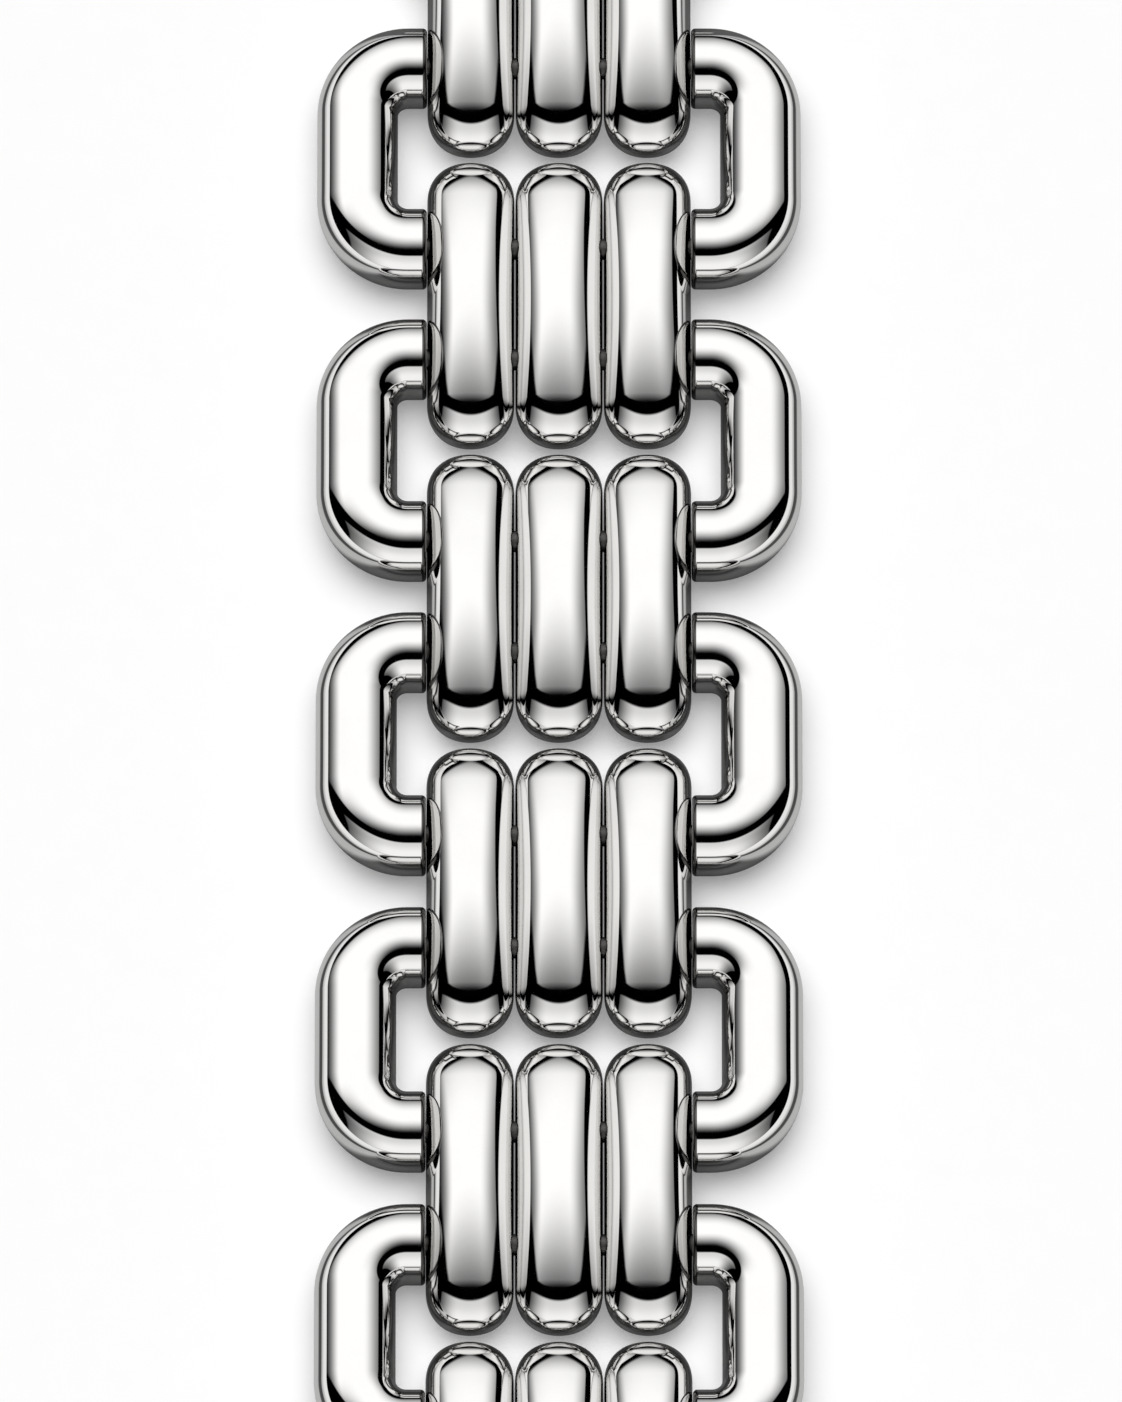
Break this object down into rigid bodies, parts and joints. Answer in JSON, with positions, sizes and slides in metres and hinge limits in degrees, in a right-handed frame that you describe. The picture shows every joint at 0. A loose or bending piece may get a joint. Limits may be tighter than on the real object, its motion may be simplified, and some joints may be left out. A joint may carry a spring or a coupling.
{
  "type": "metal watch bracelet",
  "caption": "Watch bracelet of round-ended barrel rows hinged by C-shaped side links on cross pins, with spring bars at the watch ends and a ribbed fold-over clasp.",
  "frame": {"origin": "middle of the underside of the bracelet laid flat with its clasp closed", "axes": "+X across the bracelet, +Y along it to the twelve o'clock watch end, +Z out of the wrist"},
  "size_m": [0.018, 0.1534, 0.0043],
  "materials": {
    "polished_steel": "mirror polished stainless steel",
    "arm_steel": "brushed stainless steel",
    "pin_steel": "ground stainless steel",
    "bar_steel": "turned stainless steel",
    "spring_steel": "drawn spring wire"
  },
  "bodies": {
    "clasp_cover": {"clasp_cover": "polished_steel", "clasp_hinge_pin_1": "pin_steel", "clasp_snap_bar": "pin_steel"},
    "clasp_middle_arm": {"clasp_middle_arm": "arm_steel"},
    "clasp_lower_arm": {"clasp_lower_arm": "arm_steel", "clasp_hinge_pin_2": "pin_steel"},
    "link_06": {"c_link_left_06": "polished_steel", "c_link_right_06": "polished_steel", "link_pins_06": "pin_steel"},
    "row_06": {"barrel_row_06": "polished_steel"},
    "link_05": {"c_link_left_05": "polished_steel", "c_link_right_05": "polished_steel", "link_pins_05": "pin_steel"},
    "row_05": {"barrel_row_05": "polished_steel"},
    "link_04": {"c_link_left_04": "polished_steel", "c_link_right_04": "polished_steel", "link_pins_04": "pin_steel"},
    "row_04": {"barrel_row_04": "polished_steel"},
    "link_03": {"c_link_left_03": "polished_steel", "c_link_right_03": "polished_steel", "link_pins_03": "pin_steel"},
    "row_03": {"barrel_row_03": "polished_steel"},
    "link_02": {"c_link_left_02": "polished_steel", "c_link_right_02": "polished_steel", "link_pins_02": "pin_steel"},
    "row_02": {"barrel_row_02": "polished_steel"},
    "link_01": {"c_link_left_01": "polished_steel", "c_link_right_01": "polished_steel", "link_pins_01": "pin_steel"},
    "row_01": {"barrel_row_01": "polished_steel", "spring_bar_12_tube": "bar_steel", "spring_bar_12_spring": "spring_steel"},
    "link_07": {"c_link_left_07": "polished_steel", "c_link_right_07": "polished_steel", "link_pins_07": "pin_steel"},
    "row_07": {"barrel_row_07": "polished_steel"},
    "link_08": {"c_link_left_08": "polished_steel", "c_link_right_08": "polished_steel", "link_pins_08": "pin_steel"},
    "row_08": {"barrel_row_08": "polished_steel"},
    "link_09": {"c_link_left_09": "polished_steel", "c_link_right_09": "polished_steel", "link_pins_09": "pin_steel"},
    "row_09": {"barrel_row_09": "polished_steel"},
    "link_10": {"c_link_left_10": "polished_steel", "c_link_right_10": "polished_steel", "link_pins_10": "pin_steel"},
    "row_10": {"barrel_row_10": "polished_steel"},
    "link_11": {"c_link_left_11": "polished_steel", "c_link_right_11": "polished_steel", "link_pins_11": "pin_steel"},
    "row_11": {"barrel_row_11": "polished_steel", "spring_bar_6_tube": "bar_steel", "spring_bar_6_spring": "spring_steel"},
    "spring_bar_12_tip_left": {"spring_bar_12_tip_left": "bar_steel"},
    "spring_bar_12_tip_right": {"spring_bar_12_tip_right": "bar_steel"},
    "spring_bar_6_tip_left": {"spring_bar_6_tip_left": "bar_steel"},
    "spring_bar_6_tip_right": {"spring_bar_6_tip_right": "bar_steel"}
  },
  "joints": [
    {"name": "clasp_middle_arm_hinge", "type": "hinge", "parent": "clasp_cover", "child": "clasp_middle_arm", "pos_m": [0, -0.01135, 0.00165], "axis": [1, 0, 0], "range_deg": [-165, 0]},
    {"name": "clasp_lower_arm_hinge", "type": "hinge", "parent": "clasp_middle_arm", "child": "clasp_lower_arm", "pos_m": [0, 0.00168, 0.00108], "axis": [1, 0, 0], "range_deg": [0, 165]},
    {"name": "link_06_hinge", "type": "hinge", "parent": "clasp_cover", "child": "link_06", "pos_m": [0, 0.00381, 0.0015], "axis": [-1, 0, 0], "range_deg": [-8, 15]},
    {"name": "row_06_hinge", "type": "hinge", "parent": "link_06", "child": "row_06", "pos_m": [0, 0.01101, 0.0015], "axis": [-1, 0, 0], "range_deg": [-8, 15]},
    {"name": "link_05_hinge", "type": "hinge", "parent": "row_06", "child": "link_05", "pos_m": [0, 0.0154, 0.0015], "axis": [-1, 0, 0], "range_deg": [-8, 15]},
    {"name": "row_05_hinge", "type": "hinge", "parent": "link_05", "child": "row_05", "pos_m": [0, 0.0226, 0.0015], "axis": [-1, 0, 0], "range_deg": [-8, 15]},
    {"name": "link_04_hinge", "type": "hinge", "parent": "row_05", "child": "link_04", "pos_m": [0, 0.02699, 0.0015], "axis": [-1, 0, 0], "range_deg": [-8, 15]},
    {"name": "row_04_hinge", "type": "hinge", "parent": "link_04", "child": "row_04", "pos_m": [0, 0.03419, 0.0015], "axis": [-1, 0, 0], "range_deg": [-8, 15]},
    {"name": "link_03_hinge", "type": "hinge", "parent": "row_04", "child": "link_03", "pos_m": [0, 0.03858, 0.0015], "axis": [-1, 0, 0], "range_deg": [-8, 15]},
    {"name": "row_03_hinge", "type": "hinge", "parent": "link_03", "child": "row_03", "pos_m": [0, 0.04578, 0.0015], "axis": [-1, 0, 0], "range_deg": [-8, 15]},
    {"name": "link_02_hinge", "type": "hinge", "parent": "row_03", "child": "link_02", "pos_m": [0, 0.05017, 0.0015], "axis": [-1, 0, 0], "range_deg": [-8, 15]},
    {"name": "row_02_hinge", "type": "hinge", "parent": "link_02", "child": "row_02", "pos_m": [0, 0.05737, 0.0015], "axis": [-1, 0, 0], "range_deg": [-8, 15]},
    {"name": "link_01_hinge", "type": "hinge", "parent": "row_02", "child": "link_01", "pos_m": [0, 0.06176, 0.0015], "axis": [-1, 0, 0], "range_deg": [-8, 15]},
    {"name": "row_01_hinge", "type": "hinge", "parent": "link_01", "child": "row_01", "pos_m": [0, 0.06896, 0.0015], "axis": [-1, 0, 0], "range_deg": [-8, 15]},
    {"name": "link_07_hinge", "type": "hinge", "parent": "clasp_lower_arm", "child": "link_07", "pos_m": [0, -0.0154, 0.0015], "axis": [1, 0, 0], "range_deg": [-8, 15]},
    {"name": "row_07_hinge", "type": "hinge", "parent": "link_07", "child": "row_07", "pos_m": [0, -0.0226, 0.0015], "axis": [1, 0, 0], "range_deg": [-8, 15]},
    {"name": "link_08_hinge", "type": "hinge", "parent": "row_07", "child": "link_08", "pos_m": [0, -0.02699, 0.0015], "axis": [1, 0, 0], "range_deg": [-8, 15]},
    {"name": "row_08_hinge", "type": "hinge", "parent": "link_08", "child": "row_08", "pos_m": [0, -0.03419, 0.0015], "axis": [1, 0, 0], "range_deg": [-8, 15]},
    {"name": "link_09_hinge", "type": "hinge", "parent": "row_08", "child": "link_09", "pos_m": [0, -0.03858, 0.0015], "axis": [1, 0, 0], "range_deg": [-8, 15]},
    {"name": "row_09_hinge", "type": "hinge", "parent": "link_09", "child": "row_09", "pos_m": [0, -0.04578, 0.0015], "axis": [1, 0, 0], "range_deg": [-8, 15]},
    {"name": "link_10_hinge", "type": "hinge", "parent": "row_09", "child": "link_10", "pos_m": [0, -0.05017, 0.0015], "axis": [1, 0, 0], "range_deg": [-8, 15]},
    {"name": "row_10_hinge", "type": "hinge", "parent": "link_10", "child": "row_10", "pos_m": [0, -0.05737, 0.0015], "axis": [1, 0, 0], "range_deg": [-8, 15]},
    {"name": "link_11_hinge", "type": "hinge", "parent": "row_10", "child": "link_11", "pos_m": [0, -0.06176, 0.0015], "axis": [1, 0, 0], "range_deg": [-8, 15]},
    {"name": "row_11_hinge", "type": "hinge", "parent": "link_11", "child": "row_11", "pos_m": [0, -0.06896, 0.0015], "axis": [1, 0, 0], "range_deg": [-8, 15]},
    {"name": "spring_bar_12_tip_left_slide", "type": "slide", "parent": "row_01", "child": "spring_bar_12_tip_left", "axis": [-1, 0, 0], "range_m": [-0.001, 0], "stiffness_N_per_m": 500, "springref_m": 0.001, "deforming": ["spring_bar_12_spring"]},
    {"name": "spring_bar_12_tip_right_slide", "type": "slide", "parent": "row_01", "child": "spring_bar_12_tip_right", "axis": [1, 0, 0], "range_m": [-0.001, 0], "stiffness_N_per_m": 500, "springref_m": 0.001, "deforming": ["spring_bar_12_spring"]},
    {"name": "spring_bar_6_tip_left_slide", "type": "slide", "parent": "row_11", "child": "spring_bar_6_tip_left", "axis": [-1, 0, 0], "range_m": [-0.001, 0], "stiffness_N_per_m": 500, "springref_m": 0.001, "deforming": ["spring_bar_6_spring"]},
    {"name": "spring_bar_6_tip_right_slide", "type": "slide", "parent": "row_11", "child": "spring_bar_6_tip_right", "axis": [1, 0, 0], "range_m": [-0.001, 0], "stiffness_N_per_m": 500, "springref_m": 0.001, "deforming": ["spring_bar_6_spring"]}
  ],
  "couplings": [
    {"joint": "clasp_lower_arm_hinge", "follows": "clasp_middle_arm_hinge", "ratio": -1}
  ]
}
